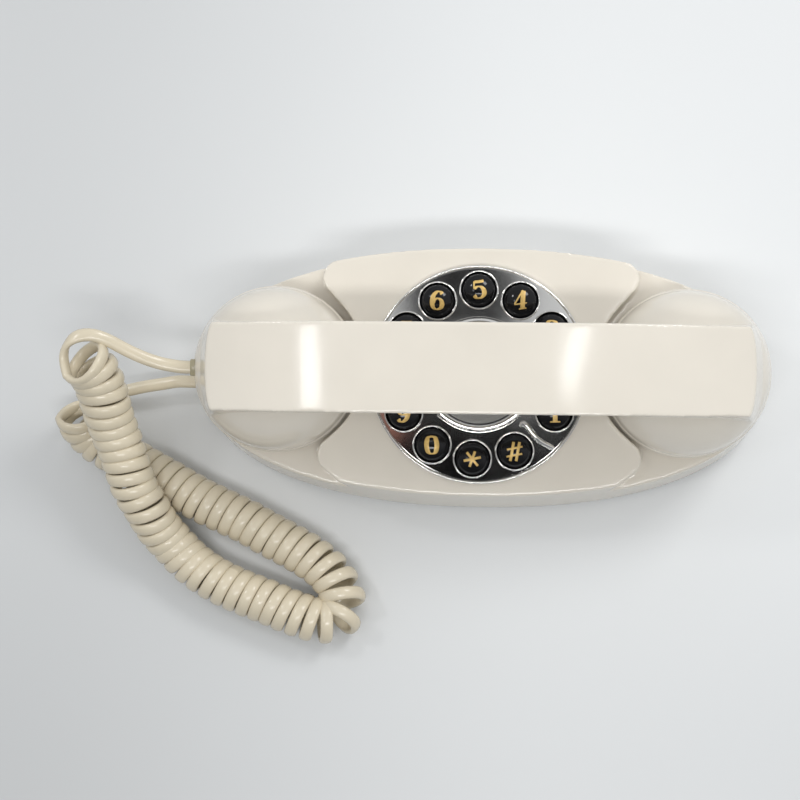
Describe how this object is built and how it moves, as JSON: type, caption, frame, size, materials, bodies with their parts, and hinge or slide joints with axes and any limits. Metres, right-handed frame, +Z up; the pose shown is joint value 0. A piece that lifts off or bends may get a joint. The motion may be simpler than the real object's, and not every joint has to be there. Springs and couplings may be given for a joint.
{
  "type": "push-button desk telephone",
  "caption": "Oval ivory desk telephone with a ring of domed push buttons on a chrome dial-shaped plate, a long lift-off handset and a curly cord.",
  "frame": {"origin": "on the surface the telephone stands on, under the middle of the base", "axes": "+X along the handset, +Y to the back, +Z up; the key panel leans towards -Y"},
  "size_m": [0.2797, 0.1524, 0.0869],
  "materials": {
    "ivory_plastic": "glossy moulded ABS, ivory",
    "chrome": "bright plating",
    "key_black": "gloss black domes with gold figures and bright rims",
    "card": "plain pale grey card",
    "window": "clear plastic window",
    "cord_vinyl": "satin beige vinyl",
    "plug_clear": "translucent modular plug",
    "foot_rubber": "matte black rubber",
    "steel": "plated steel",
    "board": "green circuit board",
    "speaker": "dark metal can",
    "black_plastic": "black moulded plastic",
    "ribbon": "flat grey ribbon"
  },
  "bodies": {
    "root": {"housing": "ivory_plastic", "base_pan": "ivory_plastic", "rubber_foot_1": "foot_rubber", "rubber_foot_2": "foot_rubber", "rubber_foot_3": "foot_rubber", "rubber_foot_4": "foot_rubber", "base_screw_1": "steel", "base_screw_2": "steel", "base_screw_3": "steel", "base_screw_4": "steel", "main_board": "board", "keypad_board": "board", "keypad_mat": "foot_rubber", "keypad_ribbon": "ribbon", "ballast_plate": "steel", "ringer_speaker": "speaker", "base_handset_jack": "black_plastic", "line_jack": "black_plastic", "hook_switch_body": "black_plastic", "hook_spring": "steel", "dial_plate": "chrome", "hub_ring": "chrome", "number_card": "card", "card_window": "window", "finger_stop": "chrome", "cord_tail_handset": "cord_vinyl", "cord_coil": "cord_vinyl", "cord_tail_base": "cord_vinyl", "cord_plug_base": "plug_clear"},
    "handset": {"handset_shell": "ivory_plastic", "handset_cover": "ivory_plastic", "ear_cap": "ivory_plastic", "mouth_cap": "ivory_plastic", "receiver_capsule": "speaker", "transmitter_capsule": "speaker", "handset_jack": "black_plastic", "handset_weight": "steel", "handset_screw_1": "steel", "handset_screw_2": "steel", "cord_plug_handset": "plug_clear"},
    "hook_switch": {"hook_bar": "steel", "hook_plunger_left": "ivory_plastic", "hook_plunger_right": "ivory_plastic"},
    "ringer_switch": {"ringer_switch_knob": "black_plastic"},
    "tone_pulse_switch": {"tone_pulse_knob": "black_plastic"},
    "key_1": {"button_1": "key_black"},
    "key_2": {"button_2": "key_black"},
    "key_3": {"button_3": "key_black"},
    "key_4": {"button_4": "key_black"},
    "key_5": {"button_5": "key_black"},
    "key_6": {"button_6": "key_black"},
    "key_7": {"button_7": "key_black"},
    "key_8": {"button_8": "key_black"},
    "key_9": {"button_9": "key_black"},
    "key_0": {"button_0": "key_black"},
    "key_star": {"button_star": "key_black"},
    "key_hash": {"button_hash": "key_black"}
  },
  "joints": [
    {"name": "handset_lift", "type": "slide", "parent": "root", "child": "handset", "axis": [0, -0.1478, 0.989], "range_m": [0, 0.12]},
    {"name": "hook_travel", "type": "slide", "parent": "root", "child": "hook_switch", "axis": [0, -0.1478, 0.989], "range_m": [0, 0.004], "deforming": ["hook_spring"]},
    {"name": "ringer_switch_slide", "type": "slide", "parent": "root", "child": "ringer_switch", "axis": [1, 0, 0], "range_m": [0, 0.004]},
    {"name": "tone_pulse_slide", "type": "slide", "parent": "root", "child": "tone_pulse_switch", "axis": [1, 0, 0], "range_m": [0, 0.004]},
    {"name": "key_1_press", "type": "slide", "parent": "root", "child": "key_1", "axis": [0, 0.1478, -0.989], "range_m": [0, 0.0015], "stiffness_N_per_m": 400, "springref_m": -0.0005},
    {"name": "key_2_press", "type": "slide", "parent": "root", "child": "key_2", "axis": [0, 0.1478, -0.989], "range_m": [0, 0.0015], "stiffness_N_per_m": 400, "springref_m": -0.0005},
    {"name": "key_3_press", "type": "slide", "parent": "root", "child": "key_3", "axis": [0, 0.1478, -0.989], "range_m": [0, 0.0015], "stiffness_N_per_m": 400, "springref_m": -0.0005},
    {"name": "key_4_press", "type": "slide", "parent": "root", "child": "key_4", "axis": [0, 0.1478, -0.989], "range_m": [0, 0.0015], "stiffness_N_per_m": 400, "springref_m": -0.0005},
    {"name": "key_5_press", "type": "slide", "parent": "root", "child": "key_5", "axis": [0, 0.1478, -0.989], "range_m": [0, 0.0015], "stiffness_N_per_m": 400, "springref_m": -0.0005},
    {"name": "key_6_press", "type": "slide", "parent": "root", "child": "key_6", "axis": [0, 0.1478, -0.989], "range_m": [0, 0.0015], "stiffness_N_per_m": 400, "springref_m": -0.0005},
    {"name": "key_7_press", "type": "slide", "parent": "root", "child": "key_7", "axis": [0, 0.1478, -0.989], "range_m": [0, 0.0015], "stiffness_N_per_m": 400, "springref_m": -0.0005},
    {"name": "key_8_press", "type": "slide", "parent": "root", "child": "key_8", "axis": [0, 0.1478, -0.989], "range_m": [0, 0.0015], "stiffness_N_per_m": 400, "springref_m": -0.0005},
    {"name": "key_9_press", "type": "slide", "parent": "root", "child": "key_9", "axis": [0, 0.1478, -0.989], "range_m": [0, 0.0015], "stiffness_N_per_m": 400, "springref_m": -0.0005},
    {"name": "key_0_press", "type": "slide", "parent": "root", "child": "key_0", "axis": [0, 0.1478, -0.989], "range_m": [0, 0.0015], "stiffness_N_per_m": 400, "springref_m": -0.0005},
    {"name": "key_star_press", "type": "slide", "parent": "root", "child": "key_star", "axis": [0, 0.1478, -0.989], "range_m": [0, 0.0015], "stiffness_N_per_m": 400, "springref_m": -0.0005},
    {"name": "key_hash_press", "type": "slide", "parent": "root", "child": "key_hash", "axis": [0, 0.1478, -0.989], "range_m": [0, 0.0015], "stiffness_N_per_m": 400, "springref_m": -0.0005}
  ],
  "couplings": [
    {"joint": "hook_travel", "follows": "handset_lift", "ratio": 0.033333}
  ]
}
